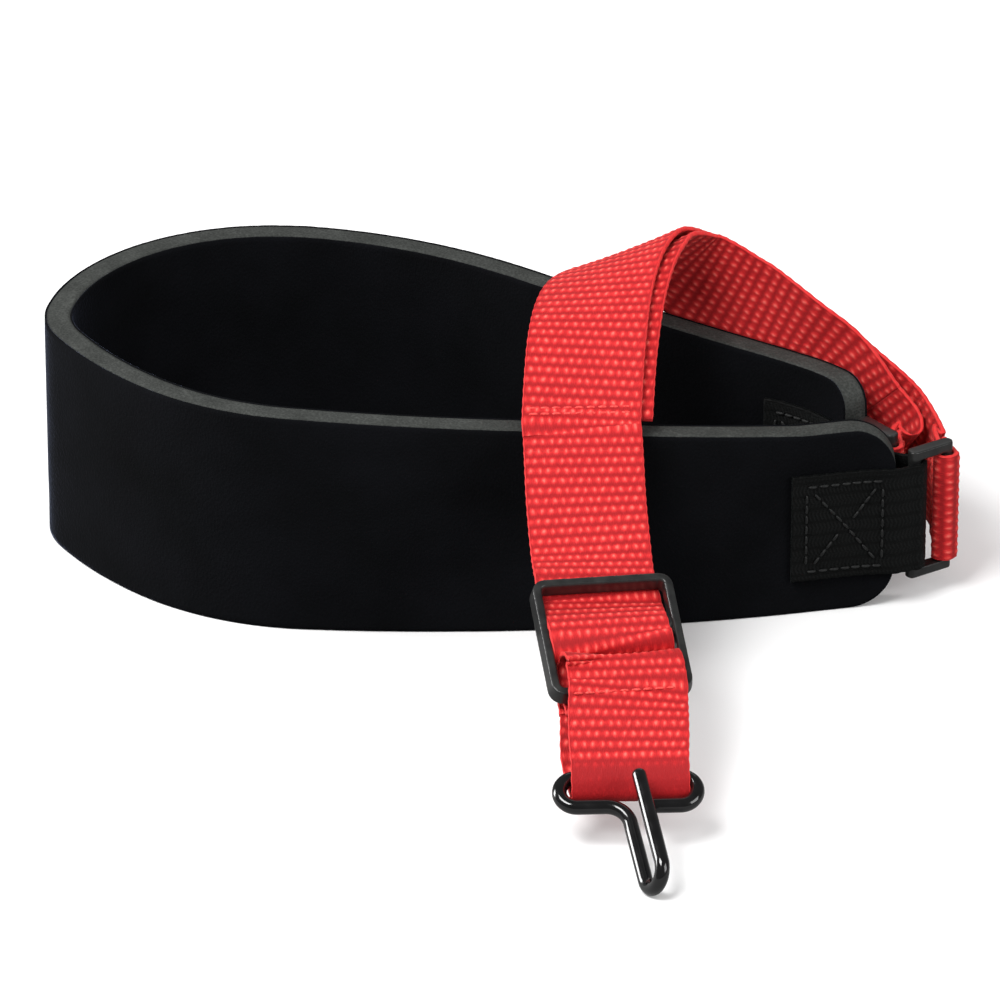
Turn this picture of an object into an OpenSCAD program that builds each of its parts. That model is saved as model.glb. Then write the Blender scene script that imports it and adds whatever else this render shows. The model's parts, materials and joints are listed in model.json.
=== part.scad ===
// Saxophone neck strap: a padded loop for the neck, a webbing strap with a
// sliding adjuster, and a coated wire hook that takes the instrument's ring.
// The loop stands on its lower edge. The hook lies in front of it, towards -Y.

/* [Neck pad] */
// Thickness of the foam core
foam_t = 5; // [4:0.5:7]
// Thickness of each fabric face
fabric_t = 0.5; // [0.4:0.1:0.6]
// Height of the pad at its round end
pad_h = 51; // [48:1:55]
// How much lower the pad is at the ring end
pad_drop = 9; // [6:1:11]
// Radius of the four corners at the ends of the pad
corner_r = 10; // [6:1:12]

/* [Webbing] */
// Width of all webbing
web_w = 25; // [24:0.5:25]
// Thickness of the red webbing
web_t = 1.4; // [1.0:0.1:1.5]
// Thickness of the black tab webbing
tab_t = 1.2; // [1.0:0.1:1.3]
// Length of each tab on the pad
tab_len = 23; // [18:1:28]

/* [Rings] */
// Radius of the two long bars of a ring
ring_bar_r = 1.4; // [1.2:0.1:1.5]
// Distance between the two long bars
ring_pitch = 8; // [8:0.5:9]
// Height of a ring
ring_h = 30; // [30:0.2:32]

/* [Slider] */
// Width between the side rails
slider_w = 25.6; // [25.4:0.1:26]
// Length of the slider along the strap
slider_l = 29; // [29:0.5:30]
// Width of each cross bar
slider_bar = 3; // [2.6:0.1:3]
// Thickness of the cross bars
slider_t = 2.8; // [2.4:0.1:2.8]

/* [Hook] */
// Radius of the coated hook wire
hook_r = 1.4; // [1.2:0.05:1.4]
// Radius of the steel wire inside the coating
wire_r = 1.0; // [0.8:0.05:1.05]
// Distance between the front and rear bars of the hook
hook_depth = 7; // [7:0.1:8.5]
// Inside half gap of the hook's throat, measured to the wire centre
throat_r = 3.6; // [3.4:0.1:3.8]
// Length of the hook's straight shaft
shaft_l = 14; // [13:0.5:17]

/* [Hidden] */

$fn = 48;
gap = 0.02;            // bond line between parts that touch
slack = 0.15;          // clearance between webbing and the bar it goes round
arc_steps = 10;        // points on each arc of the pad's outline
web_z = 20.6;          // height of the middle of the tabs and rings
pad_t = foam_t + 2 * fabric_t;
black = [0.04, 0.04, 0.05];
charcoal = [0.26, 0.27, 0.27];
red = [0.86, 0.06, 0.07];
thread_red = [0.70, 0.04, 0.06];
steel = [0.70, 0.71, 0.72];

// ---- The pad's plan: a path of arcs, [length, turn], walked clockwise ----
pad_start = [90, -30.6, 180.6];   // end of the front arm, and the heading into the pad
pad_arcs = [[12, 13], [113, -18], [35, -36], [29, -20], [13, -41],
            [64, -78.5], [49.5, -30], [67, 5], [21.5, -33]];

// State [x, y, heading] after one arc
function arc_end(s, a) = a.x == 0 ? s : let (r = a.x / (a.y * PI / 180))
    [s.x + r * (sin(s.z + a.y) - sin(s.z)), s.y - r * (cos(s.z + a.y) - cos(s.z)), s.z + a.y];
function sum_len(arcs, i = 0) = i == len(arcs) ? 0 : arcs[i].x + sum_len(arcs, i + 1);
// State at distance d along the path
function walk(s, arcs, d, i = 0) = (d <= arcs[i].x || i == len(arcs) - 1)
    ? arc_end(s, arcs[i] * d / arcs[i].x)
    : walk(arc_end(s, arcs[i]), arcs, d - arcs[i].x, i + 1);
pad_len = sum_len(pad_arcs);
function pad_at(d) = walk(pad_start, pad_arcs, d);
// Point beside a state, to its left, which is the outside of the loop
function beside(s, d) = [s.x - d * sin(s.z), s.y + d * cos(s.z)];
function reversed(v) = [for (i = [len(v) - 1:-1:0]) v[i]];

pad_path = concat(
    [for (i = [0:len(pad_arcs) - 1], k = [0:arc_steps - 1])
        pad_at(sum_len([for (j = [0:1:i - 1]) pad_arcs[j]]) + pad_arcs[i].x * k / arc_steps)],
    [pad_at(pad_len)]);

// A band that follows the pad's path between two offsets from its middle
module plan_band(inner, outer) {
    polygon(concat([for (s = pad_path) beside(s, inner)],
                   reversed([for (s = pad_path) beside(s, outer)])));
}

// Side view of the pad: flat underneath, lower towards the rings
module side_profile() {
    polygon([[-110, 0], [110, 0], [110, pad_h - pad_drop], [70, pad_h - pad_drop],
             [10, pad_h - pad_drop * 0.4], [-35, pad_h - pad_drop * 0.15], [-110, pad_h]]);
}

// Frame at distance d from an arm's end: +X along the arm to its end, +Y to the outside
module at_front(d) {
    s = pad_at(d);
    translate([s.x, s.y, 0]) rotate([0, 0, s.z + 180]) mirror([0, 1, 0]) children();
}
module at_rear(d) {
    s = pad_at(pad_len - d);
    translate([s.x, s.y, 0]) rotate([0, 0, s.z]) children();
}

// Cutter that rounds one corner at an arm's end, below the height z
module corner_cut(z, r) {
    translate([0, pad_t, z]) rotate([90, 0, 0]) linear_extrude(2 * pad_t) difference() {
        translate([-r, -r]) square([2 * r, 2 * r]);
        translate([-r, -r]) circle(r);
        translate([-3 * r, -2 * r]) square([2 * r, 4 * r]);
        translate([-r, -3 * r]) square([2 * r, 2 * r]);
    }
}
module end_corners(r) {
    corner_cut(pad_h - pad_drop, r);
    mirror([0, 0, 1]) corner_cut(0, corner_r);
}

module pad_layer(inner, outer) {
    difference() {
        intersection() {
            linear_extrude(pad_h) plan_band(inner, outer);
            rotate([90, 0, 0]) linear_extrude(240, center = true) side_profile();
        }
        at_front(0) end_corners(corner_r);
        at_rear(0) end_corners(corner_r * 0.6);
    }
}
module pad_foam() color(charcoal) pad_layer(-foam_t / 2, foam_t / 2);
module pad_outer_fabric() color(black) pad_layer(foam_t / 2 + gap, pad_t / 2);
module pad_inner_fabric() color(black) pad_layer(-pad_t / 2, -foam_t / 2 - gap);

// ---- Webbing laid on edge: a ribbon polygon round a list of centre points ----
function unit(v) = v / norm(v);
function tangent(p, i) = unit(p[min(i + 1, len(p) - 1)] - p[max(i - 1, 0)]);
function ribbon(p, t) = concat(
    [for (i = [0:len(p) - 1]) let (d = tangent(p, i)) p[i] + [-d.y, d.x] * t / 2],
    reversed([for (i = [0:len(p) - 1]) let (d = tangent(p, i)) p[i] - [-d.y, d.x] * t / 2]));
function arc_points(c, r, from, to, n = 10) =
    [for (i = [0:n]) c + r * [cos(from + (to - from) * i / n), sin(from + (to - from) * i / n)]];
module webbing(points, t, w = web_w) {
    linear_extrude(w, center = true) polygon(ribbon(points, t));
}

// ---- Rings: where their bars stand ----
tab_wrap_r = ring_bar_r + slack + tab_t / 2;
red_wrap_r = ring_bar_r + slack + web_t / 2;
tab_gap = 0.06;        // between the pad's faces and the tabs
bar_reach = 4;         // from the pad's end to the ring's inner bar
front_lean = 33;       // plan direction from the inner bar to the outer bar
rear_lean = -50;
front_leave = 97;      // plan direction in which the strap leaves the outer bar
rear_leave = 78;
end_leg = 8;           // length of the sewn legs behind the outer bar
function ahead(s, d) = [s.x + d * cos(s.z), s.y + d * sin(s.z)];
function plan(a, d) = d * [cos(a), sin(a)];
rear_end = pad_at(pad_len);
front_bar = ahead(pad_start, -bar_reach);
rear_bar = ahead(rear_end, bar_reach);
front_outer_bar = front_bar + plan(front_lean, ring_pitch);
rear_outer_bar = rear_bar + plan(rear_lean, ring_pitch);

// Tab: outside leg along the pad, round the ring's inner bar, inside leg back
module front_tab() {
    d = pad_t / 2 + tab_gap + tab_t / 2;
    legs = [for (i = [0:12]) pad_at(tab_len * (1 - i / 12))];
    color(black) translate([0, 0, web_z]) webbing(concat(
        [for (s = legs) beside(s, d)],
        arc_points(front_bar, tab_wrap_r, pad_start.z + 90, pad_start.z + 270),
        reversed([for (s = legs) beside(s, -d)])), tab_t);
}
module rear_tab() {
    d = pad_t / 2 + tab_gap + tab_t / 2;
    legs = [for (i = [0:12]) pad_at(pad_len - tab_len * (1 - i / 12))];
    color(black) translate([0, 0, web_z]) webbing(concat(
        [for (s = legs) beside(s, d)],
        arc_points(rear_bar, tab_wrap_r, rear_end.z + 90, rear_end.z - 90),
        reversed([for (s = legs) beside(s, -d)])), tab_t);
}

// ---- Stitches: short straight lengths of thread lying on a face ----
stitch_l = 1.7;
stitch_w = 0.5;
stitch_t = 0.3;
stitch_pitch = 2.4;
// One stitch on the plane Y = 0, turned by a from +X towards +Z
module stitch(a) {
    rotate([0, -a, 0]) translate([-stitch_l / 2, 0, -stitch_w / 2]) cube([stitch_l, stitch_t, stitch_w]);
}
// Box and cross pattern as a list of [distance along the tab, height, angle]
box_l = 17;
box_h = 20;
box_from = 3;
function row(a, b) = let (d = b - a, n = round(norm(d) / stitch_pitch))
    [for (i = [0.5:1:n]) [a.x + d.x * i / n, a.y + d.y * i / n, atan2(d.y, d.x)]];
function box_cross() = let (x0 = box_from, x1 = box_from + box_l, z0 = -box_h / 2, z1 = box_h / 2, i = 1.6)
    concat(row([x0, z0], [x1, z0]), row([x0, z1], [x1, z1]), row([x0, z0 + i], [x0, z1 - i]),
           row([x1, z0 + i], [x1, z1 - i]), row([x0 + i, z0 + i], [x1 - i, z1 - i]),
           row([x0 + i, z1 - i], [x0 + box_l / 2 - i, i]), row([x0 + box_l / 2 + i, -i], [x1 - i, z0 + i]));
stitch_face = pad_t / 2 + tab_gap + tab_t + 2 * gap;
module front_tab_stitching() {
    color(charcoal) for (q = box_cross(), side = [0, 1]) at_front(q.x)
        mirror([0, side, 0]) translate([0, stitch_face, web_z + q.y]) stitch(-q.z);
}
module rear_tab_stitching() {
    color(charcoal) for (q = box_cross(), side = [0, 1]) at_rear(q.x)
        mirror([0, side, 0]) translate([0, stitch_face, web_z + q.y]) stitch(-q.z);
}

// ---- Rings ----
ring_side_w = 2.2;
module ring(inner, outer) {
    lean = atan2(outer.y - inner.y, outer.x - inner.x);
    translate([inner.x, inner.y, web_z]) rotate([0, 0, lean]) {
        for (x = [0, ring_pitch]) translate([x, 0, 0])
            cylinder(r = ring_bar_r, h = ring_h - ring_side_w, center = true);
        for (z = [-1, 1]) translate([ring_pitch / 2, 0, z * (ring_h - ring_side_w) / 2])
            linear_extrude(ring_side_w, center = true) {
                translate([-ring_pitch / 2, -ring_bar_r]) square([ring_pitch, 2 * ring_bar_r]);
                for (x = [-1, 1]) translate([x * ring_pitch / 2, 0]) circle(ring_bar_r);
            }
    }
}
module front_ring() color(black) ring(front_bar, front_outer_bar);
module rear_ring() color(black) ring(rear_bar, rear_outer_bar);

// Strap end sewn round a ring's outer bar; its two legs leave along the direction a
leg_s = (web_t + 0.1) / 2;
function end_loop() = concat([[end_leg, leg_s], [end_leg * 0.6, leg_s]],
    arc_points([0, 0], red_wrap_r, 75, 285), [[end_leg * 0.6, -leg_s], [end_leg - 1.5, -leg_s]]);
module end_webbing(bar, a) {
    color(red) translate([bar.x, bar.y, web_z]) rotate([0, 0, a]) webbing(end_loop(), web_t);
}
module main_strap_end() end_webbing(front_outer_bar, front_leave);
module yoke_strap_end() end_webbing(rear_outer_bar, rear_leave);
module end_stitches(bar, a) {
    color(thread_red) translate([bar.x, bar.y, web_z]) rotate([0, 0, a])
        for (z = [-10:stitch_pitch:10], x = [5.2, 6.2], side = [0, 1]) mirror([0, side, 0])
            translate([x, leg_s + web_t / 2 + gap, z]) stitch(90);
}
module main_strap_end_stitching() end_stitches(front_outer_bar, front_leave);
module yoke_strap_end_stitching() end_stitches(rear_outer_bar, rear_leave);

// ---- The strap run: its own frame, +X across, +Y up the slope, +Z outward ----
run_slope = 26.5;
run_turn = 2.5;
hook_bar = [32.7, -129.5, 13.0];     // middle of the hook's rear bar
run_top = 91.7;        // distance from the hook bar to the strap's bend
run_start = 51;        // lower end of the straight length, above the slider
run_x = -5.0;          // the strap lies towards one side of the slider
run_w = -5.0;          // height of the strap's middle under the slider
module on_run() {
    translate(hook_bar) rotate([0, 0, run_turn]) rotate([run_slope, 0, 0]) children();
}
function run_point(u, v, w) = let (y = v * cos(run_slope) - w * sin(run_slope))
    hook_bar + [u * cos(run_turn) - y * sin(run_turn), u * sin(run_turn) + y * cos(run_turn),
                v * sin(run_slope) + w * cos(run_slope)];
// Webbing in the run's frame: points [along, outward], width across
module run_webbing(points, t = web_t, w = web_w) {
    rotate([90, 0, 90]) webbing(points, t, w);
}
module main_strap_run() {
    color(red) on_run() translate([run_x, 0, 0]) run_webbing([[run_start, run_w], [run_top, run_w]]);
}

// ---- The arch: the strap's middle and its width direction at a few stations ----
arch_keys = [
    [[98.8, -15.8, 20.6], [0.00, 0.00, 1.00]],
    [[98.3, -12.2, 21.0], [0.02, -0.05, 1.00]],
    [[92.0, -4.5, 26.6], [0.20, -0.20, 0.95]],
    [[82.0, 0.5, 34.0], [0.35, -0.25, 0.90]],
    [[70.0, 6.0, 42.0], [0.45, -0.25, 0.86]],
    [[57.0, 12.5, 48.6], [0.49, -0.25, 0.84]],
    [[46.0, 15.5, 54.9], [0.56, -0.30, 0.77]],
    [[37.5, 11.5, 61.3], [0.68, -0.35, 0.59]],
    [[32.0, 3.0, 63.8], [0.80, -0.35, 0.42]],
    [[27.5, -10.0, 63.3], [0.94, -0.20, 0.20]],
    [[25.2, -26.0, 59.8], [1.00, 0.00, 0.06]],
    [run_point(run_x, run_top + 2, run_w), [cos(run_turn), sin(run_turn), 0]]];
arch_steps = 5;
function spline(a, b, c, d, t) = 0.5 * (2 * b + (c - a) * t + (2 * a - 5 * b + 4 * c - d) * t * t
    + (3 * b - 3 * c + d - a) * t * t * t);
function key(i) = arch_keys[max(0, min(len(arch_keys) - 1, i))];
function station(i, t) = [for (k = [0, 1]) spline(key(i - 1)[k], key(i)[k], key(i + 1)[k], key(i + 2)[k], t)];
arch_path = concat(
    [for (i = [0:len(arch_keys) - 2], k = [0:arch_steps - 1]) station(i, k / arch_steps)],
    [arch_keys[len(arch_keys) - 1]]);
// [middle, width direction, face normal] at every station of a path
function frames(path) = [for (i = [0:len(path) - 1])
    let (d = unit(path[min(i + 1, len(path) - 1)][0] - path[max(i - 1, 0)][0]),
         b = unit(path[i][1] - d * (path[i][1] * d)))
    [path[i][0], b, cross(d, b)]];

// A band through frames, as one closed surface
module band(f, w, t) {
    n = len(f);
    points = [for (s = f, k = [[-1, -1], [1, -1], [1, 1], [-1, 1]])
        s[0] + s[1] * k.x * w / 2 + s[2] * k.y * t / 2];
    sides = [for (i = [0:n - 2], k = [0:3], h = [0, 1]) let (a = 4 * i + k, b = 4 * i + (k + 1) % 4)
        h == 0 ? [a, b, b + 4] : [a, b + 4, a + 4]];
    polyhedron(points, concat([[3, 2, 1, 0]], sides, [[4 * n - 4, 4 * n - 3, 4 * n - 2, 4 * n - 1]]), 4);
}
module main_strap_arch() color(red) band(frames(arch_path), web_w, web_t);

// The yoke strap joins under the main strap and lies a little to one side of it
yoke_gap = 2.2;        // distance between the middles of the two layers
yoke_side = 2.4;
yoke_from = 23;        // first station at which it lies under the main strap
function from_rear_bar(d, z) = concat(rear_outer_bar + plan(rear_leave, end_leg + d), [z]);
yoke_lead = [
    [from_rear_bar(1.2, web_z), [0, 0, 1]],
    [from_rear_bar(4.5, web_z + 0.3), [0.02, -0.03, 1]],
    [[90.3, -7.0, 24.0], [0.08, -0.10, 1]],
    [[84.4, -3.4, 30.4], [0.28, -0.24, 0.93]],
    [[77.3, 0.4, 38.9], [0.42, -0.30, 0.86]],
    [[69.9, 3.4, 44.1], [0.40, -0.30, 0.87]]];
yoke_under = [for (s = frames(arch_path)) [s[0] - s[2] * yoke_gap + s[1] * yoke_side, s[1]]];
yoke_keys = concat(yoke_lead, [yoke_under[yoke_from], yoke_under[yoke_from + arch_steps]]);
function yoke_key(i) = yoke_keys[max(0, i)];
yoke_path = concat(
    [for (i = [0:len(yoke_lead) - 1], k = [0:arch_steps - 1]) [for (j = [0, 1])
        spline(yoke_key(i - 1)[j], yoke_key(i)[j], yoke_key(i + 1)[j], yoke_key(i + 2)[j], k / arch_steps)]],
    [for (i = [yoke_from:len(yoke_under) - 1]) yoke_under[i]]);
module yoke_strap_arch() color(red) band(frames(yoke_path), web_w, web_t);

// Seam that holds the two layers together above the bend
module yoke_seam_stitching() {
    color(thread_red) on_run() for (x = [-10:stitch_pitch:10], y = [2.5, 4])
        translate([run_x + x, run_top + y, run_w + web_t / 2 + 0.3]) rotate([90, 0, 0]) stitch(0);
}

// ---- Slider: its own skewed frame on the run ----
slider_at = [-1.7, 34, 0];
slider_skew = 7;
slider_roll = 6;       // its left rail stands a little higher than its right one
bar_y = (slider_l - slider_bar) / 2;
rail_front = 1.8;      // rail width at its front face
rail_back = 2.2;       // rail width at its back face
rail_up = 2.2;
rail_down = 2.4;
end_bar = 2;           // width of the two end bars, whose tops are flush with the rails
module on_slider() {
    on_run() translate(slider_at) rotate([0, 0, slider_skew]) rotate([0, slider_roll, 0]) children();
}
module slider_frame() {
    color(black) on_slider() {
        cube([slider_w + 1, slider_bar, slider_t], center = true);
        for (s = [-1, 1]) translate([0, s * (slider_l - end_bar) / 2, (rail_up - slider_t / 2) / 2])
            cube([slider_w + 1, end_bar, rail_up + slider_t / 2], center = true);
        for (s = [0, 1]) mirror([s, 0, 0]) rotate([90, 0, 0]) linear_extrude(slider_l, center = true)
            polygon([[slider_w / 2, -rail_down], [slider_w / 2 + rail_back, -rail_down],
                     [slider_w / 2 + rail_back, -rail_down + 1], [slider_w / 2 + rail_front, rail_up],
                     [slider_w / 2, rail_up]]);
    }
}

// Main strap over the centre bar and under the other two, points [along, outward]
bar_clear = slider_t / 2 + slack + web_t / 2;
over = rail_up + slack + web_t / 2;       // webbing over the end bars
below = bar_clear + web_t + slack;        // webbing behind the folded tail
tail_loop_y = bar_y - 5.2;                // middle of the tail's loose loop, below the slider's middle
module slider_strap_thread() {
    color(red) on_slider() run_webbing(concat(
        [[bar_y + 2.2, -bar_clear], [bar_y - 2.2, -bar_clear], [8.6, -1.4], [6.4, 1.2]],
        [[4, bar_clear + 0.1], [0, bar_clear + 0.5], [-1.8, bar_clear + 0.1]],
        [[-3.1, 1.0], [-3.7, -1.4], [-5.0, -3.5], [-7.5, -below], [-bar_y - 3.2, -below]]));
}
// End of the strap, folded loosely round the slider's lower bar and sewn to itself
module main_strap_tail() {
    fold = arc_points([0, 0], 1, 90, -90);
    color(red) on_slider() run_webbing(concat(
        [[-bar_y - 3.2, over + 0.1]],
        [for (p = fold) [2.4 * p.x - tail_loop_y, (over - bar_clear) / 2 + p.y * (over + bar_clear) / 2]],
        [[-bar_y - 0.5, -bar_clear], [-bar_y - 2.2, -bar_clear], [-bar_y - 3.8, -1.0], [-bar_y - 4.6, 0.9]]));
}
module tail_stitching() {
    color(thread_red) on_slider() for (x = [-10:stitch_pitch:10])
        translate([x, -bar_y - 2.4, over + 0.1 + web_t / 2 + 3 * gap]) rotate([90, 0, 0]) stitch(0);
}

// ---- Hook and the webbing loop that holds it ----
hook_slack = 0.7;
loop_w = 24;           // the webbing is crowded a little narrower inside the hook
loop_r = hook_r + hook_slack + web_t / 2;
loop_top = 14.8;
module hook_loop() {
    color(red) on_run() run_webbing(concat(
        [[loop_top, loop_r], [6, loop_r]], arc_points([0, 0], loop_r, 90, 270),
        [[6, -loop_r - 0.2], [loop_top, -loop_r - 0.9]]), web_t, loop_w);
}

hook_end_r = hook_depth / 2;
hook_half = 10.4;     // half length of the straight rear bar
cut_x = 3.4;           // where the right front bar ends, beside the shaft
bend_x = -4.8;         // where the left front bar starts to bend
bend_r = 5;
hook_lean = 9.5;       // lean of the shaft towards +X
tip_turn = 25;         // turn of the tip's leg about the shaft, towards +X
tip_l = shaft_l + 7;   // length of the tip's leg
lap = 0.3;             // straight lengths run this far into the bends
swell = 0.02;          // bends are this much thicker, so that the joins are clean
core_short = 2.5;      // the steel ends this far inside the coating's rounded tip
module section(r, bore) {
    difference() {
        circle(r);
        if (bore > 0) circle(bore);
    }
}
// One straight length along +X, and one bend to the left about a centre
module straight(l, r, bore) {
    translate([-lap, 0, 0]) rotate([90, 0, 90]) linear_extrude(l + 2 * lap) section(r, bore);
}
module bend(turn_r, a, r, bore) {
    rotate_extrude(angle = a) translate([turn_r, 0]) section(r + swell, bore > 0 ? bore + swell : 0);
}
// Frame at the top of the shaft, with the shaft along -Y and the tip's leg above it in +Z
module at_shaft() {
    translate([bend_x + bend_r * cos(hook_lean), -hook_depth - bend_r + bend_r * sin(hook_lean), 0])
        rotate([0, 0, hook_lean]) rotate([0, tip_turn, 0]) children();
}
// The wire's whole course; its tip stops short by the given length
module hook_course(r, bore, short) {
    translate([-hook_half, 0, 0]) straight(2 * hook_half, r, bore);
    translate([hook_half, -hook_end_r, 0]) rotate([0, 0, -90]) bend(hook_end_r, 180, r, bore);
    translate([-hook_half, -hook_end_r, 0]) rotate([0, 0, 90]) bend(hook_end_r, 180, r, bore);
    translate([cut_x, -hook_depth, 0]) straight(hook_half - cut_x, r, bore);
    translate([-hook_half, -hook_depth, 0]) straight(hook_half + bend_x, r, bore);
    translate([bend_x, -hook_depth - bend_r, 0]) rotate([0, 0, hook_lean])
        bend(bend_r, 90 - hook_lean, r, bore);
    at_shaft() {
        rotate([0, 0, -90]) straight(shaft_l, r, bore);
        translate([0, -shaft_l, throat_r]) rotate([90, 0, 90]) rotate([0, 0, 90])
            bend(throat_r, 180, r, bore);
        translate([0, -shaft_l, 2 * throat_r]) rotate([0, 0, 90]) straight(tip_l - short, r, bore);
    }
}
module hook_wire() color(steel) on_run() hook_course(wire_r, 0, core_short);
// The coating is open at the cut end, where the steel shows, and rounded at the tip
module hook_coating() {
    color(black) on_run() {
        hook_course(hook_r, wire_r + 0.05, 0);
        at_shaft() translate([0, tip_l - shaft_l + lap, 2 * throat_r]) sphere(hook_r + swell);
    }
}

pad_foam();
pad_outer_fabric();
pad_inner_fabric();
front_tab();
rear_tab();
front_tab_stitching();
rear_tab_stitching();
main_strap_arch();
yoke_strap_arch();
yoke_seam_stitching();
front_ring();
main_strap_end();
main_strap_end_stitching();
rear_ring();
yoke_strap_end();
yoke_strap_end_stitching();
main_strap_run();
slider_frame();
slider_strap_thread();
main_strap_tail();
tail_stitching();
hook_loop();
hook_wire();
hook_coating();
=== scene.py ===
# Looks of the saxophone neck strap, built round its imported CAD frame.
# Lengths are millimetres until a mesh is written, which is in metres.
import json
import math

import bmesh
import bpy
import numpy as np
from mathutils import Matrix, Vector


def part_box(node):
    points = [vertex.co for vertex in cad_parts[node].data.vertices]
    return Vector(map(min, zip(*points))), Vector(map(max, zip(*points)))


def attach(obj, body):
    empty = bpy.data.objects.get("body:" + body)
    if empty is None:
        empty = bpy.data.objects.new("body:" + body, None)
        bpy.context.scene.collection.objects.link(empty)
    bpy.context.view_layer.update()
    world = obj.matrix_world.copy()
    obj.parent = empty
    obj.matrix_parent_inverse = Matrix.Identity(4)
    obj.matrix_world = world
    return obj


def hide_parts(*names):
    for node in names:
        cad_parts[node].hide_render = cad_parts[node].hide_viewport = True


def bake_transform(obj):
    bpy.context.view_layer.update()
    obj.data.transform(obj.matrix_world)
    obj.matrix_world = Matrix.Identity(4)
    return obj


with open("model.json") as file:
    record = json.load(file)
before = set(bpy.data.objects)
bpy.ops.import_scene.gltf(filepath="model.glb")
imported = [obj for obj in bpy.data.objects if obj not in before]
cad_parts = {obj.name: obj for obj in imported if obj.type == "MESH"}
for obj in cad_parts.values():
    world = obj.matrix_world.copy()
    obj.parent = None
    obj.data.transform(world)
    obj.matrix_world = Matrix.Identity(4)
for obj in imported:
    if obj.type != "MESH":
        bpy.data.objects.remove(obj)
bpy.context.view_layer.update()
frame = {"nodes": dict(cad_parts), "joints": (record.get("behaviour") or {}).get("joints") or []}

MM = 0.001
JOINTS = {j["name"]: j for j in frame["joints"]}


# ---- Small vector helpers ----
def vec(*values):
    return np.array(values, float)


def unit(v):
    return v / np.linalg.norm(v)


def joint_place(name):
    return np.array(JOINTS[name]["pos_m"], float) / MM


def joint_axis(name):
    return unit(np.array(JOINTS[name]["axis"], float))


def heading(degrees):
    a = math.radians(degrees)
    return vec(math.cos(a), math.sin(a), 0)


def node_box(name):
    low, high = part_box(name)
    return np.array(low) / MM, np.array(high) / MM


# ---- Sizes shared with the CAD ----
WEB_W = 25.0            # width of all webbing
WEB_T = 1.4             # thickness of the red webbing
TAB_T = 1.2             # thickness of the black webbing
FOAM_T = 5.0
FABRIC_T = 0.5
PAD_T = FOAM_T + 2 * FABRIC_T
PAD_H = 51.0            # height of the pad at its round end
PAD_DROP = 9.0          # how much lower it is at the rings
CORNER_R = 10.0
REAR_TOP_R = 6.0
TAB_LEN = 23.0
BAR_R = 1.4             # ring bars
RING_PITCH = 8.0
SLACK = 0.15            # room between webbing and the parts it goes round
UP = vec(0, 0, 1)


# ---- The run's own frame: X across the strap, Y up its slope, Z outward ----
HOOK_BAR = joint_place("hook_swing")
RUN_X = joint_axis("hook_swing")
RUN_Y = joint_axis("slider_slide")
RUN_Z = np.cross(RUN_X, RUN_Y)
BEND = joint_place("strap_swing")


def run_point(u, v, w):
    return HOOK_BAR + u * RUN_X + v * RUN_Y + w * RUN_Z


def to_run(p):
    d = p - HOOK_BAR
    return vec(d @ RUN_X, d @ RUN_Y, d @ RUN_Z)


BEND_U, BEND_V, BEND_W = to_run(BEND)


# ---- Slider: its own skewed and rolled frame on the run ----
SLIDER_W = 25.6
SLIDER_L = 29.0
SLIDER_BAR = 3.0         # width of the centre bar
SLIDER_T = 2.8
SLIDER_AT = vec(-1.7, 34.0, 0)      # its middle, on the run
SLIDER_SKEW = 7.0
SLIDER_ROLL = 6.0
RAIL_UP = 2.2           # how far the side rails stand above and below the middle
RAIL_DOWN = 2.4
END_BAR = 2.0            # width of the slider's end bars
BAR_Y = (SLIDER_L - SLIDER_BAR) / 2
BAR_CLEAR = SLIDER_T / 2 + SLACK + WEB_T / 2        # webbing against a bar
OVER = RAIL_UP + SLACK + WEB_T / 2                  # webbing over the rails
BELOW = BAR_CLEAR + WEB_T + SLACK                   # webbing under the tail


def turned(p, skew, roll):
    """p turned by roll about Y, then by skew about Z."""
    a, b = math.radians(roll), math.radians(skew)
    x, y, z = p[0] * math.cos(a) + p[2] * math.sin(a), p[1], -p[0] * math.sin(a) + p[2] * math.cos(a)
    return vec(x * math.cos(b) - y * math.sin(b), x * math.sin(b) + y * math.cos(b), z)


def slider_point(x, y, z, share=1.0):
    """A point of the slider's frame. A share below 1 takes away part of its skew."""
    return run_point(*(SLIDER_AT + turned(vec(x, y, z), SLIDER_SKEW * share, SLIDER_ROLL)))


def slider_across(share=1.0):
    return unit(slider_point(1, 0, 0, share) - slider_point(0, 0, 0, share))


# ---- Splines ----
def spline(keys, step=0.15):
    """Dense points through the keys, by Catmull-Rom. Each key is a row of numbers."""
    k = np.array(keys, float)
    k = np.vstack([2 * k[0] - k[1], k, 2 * k[-1] - k[-2]])
    rows = []
    for i in range(1, len(k) - 2):
        a, b, c, d = k[i - 1:i + 3]
        n = max(2, int(np.linalg.norm((c - b)[:3]) / step))
        t = np.linspace(0, 1, n, endpoint=False)[:, None]
        rows.append(0.5 * (2 * b + (c - a) * t + (2 * a - 5 * b + 4 * c - d) * t**2
                           + (3 * b - 3 * c + d - a) * t**3))
    rows.append(k[-2][None, :])
    return np.vstack(rows)


def resample(rows, step):
    """The same course with points at even distances."""
    gaps = np.linalg.norm(np.diff(rows[:, :3], axis=0), axis=1)
    along = np.concatenate([[0], np.cumsum(gaps)])
    n = max(2, int(round(along[-1] / step)))
    at = np.linspace(0, along[-1], n + 1)
    return np.stack([np.interp(at, along, rows[:, i]) for i in range(rows.shape[1])], 1), at


def strip_frames(rows):
    """Middle, width direction, face normal and tangent along a strip of [point, width direction]."""
    p = rows[:, :3]
    d = np.gradient(p, axis=0)
    d /= np.linalg.norm(d, axis=1)[:, None]
    b = rows[:, 3:6] - d * (rows[:, 3:6] * d).sum(1)[:, None]
    b /= np.linalg.norm(b, axis=1)[:, None]
    return p, b, np.cross(d, b), d


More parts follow.
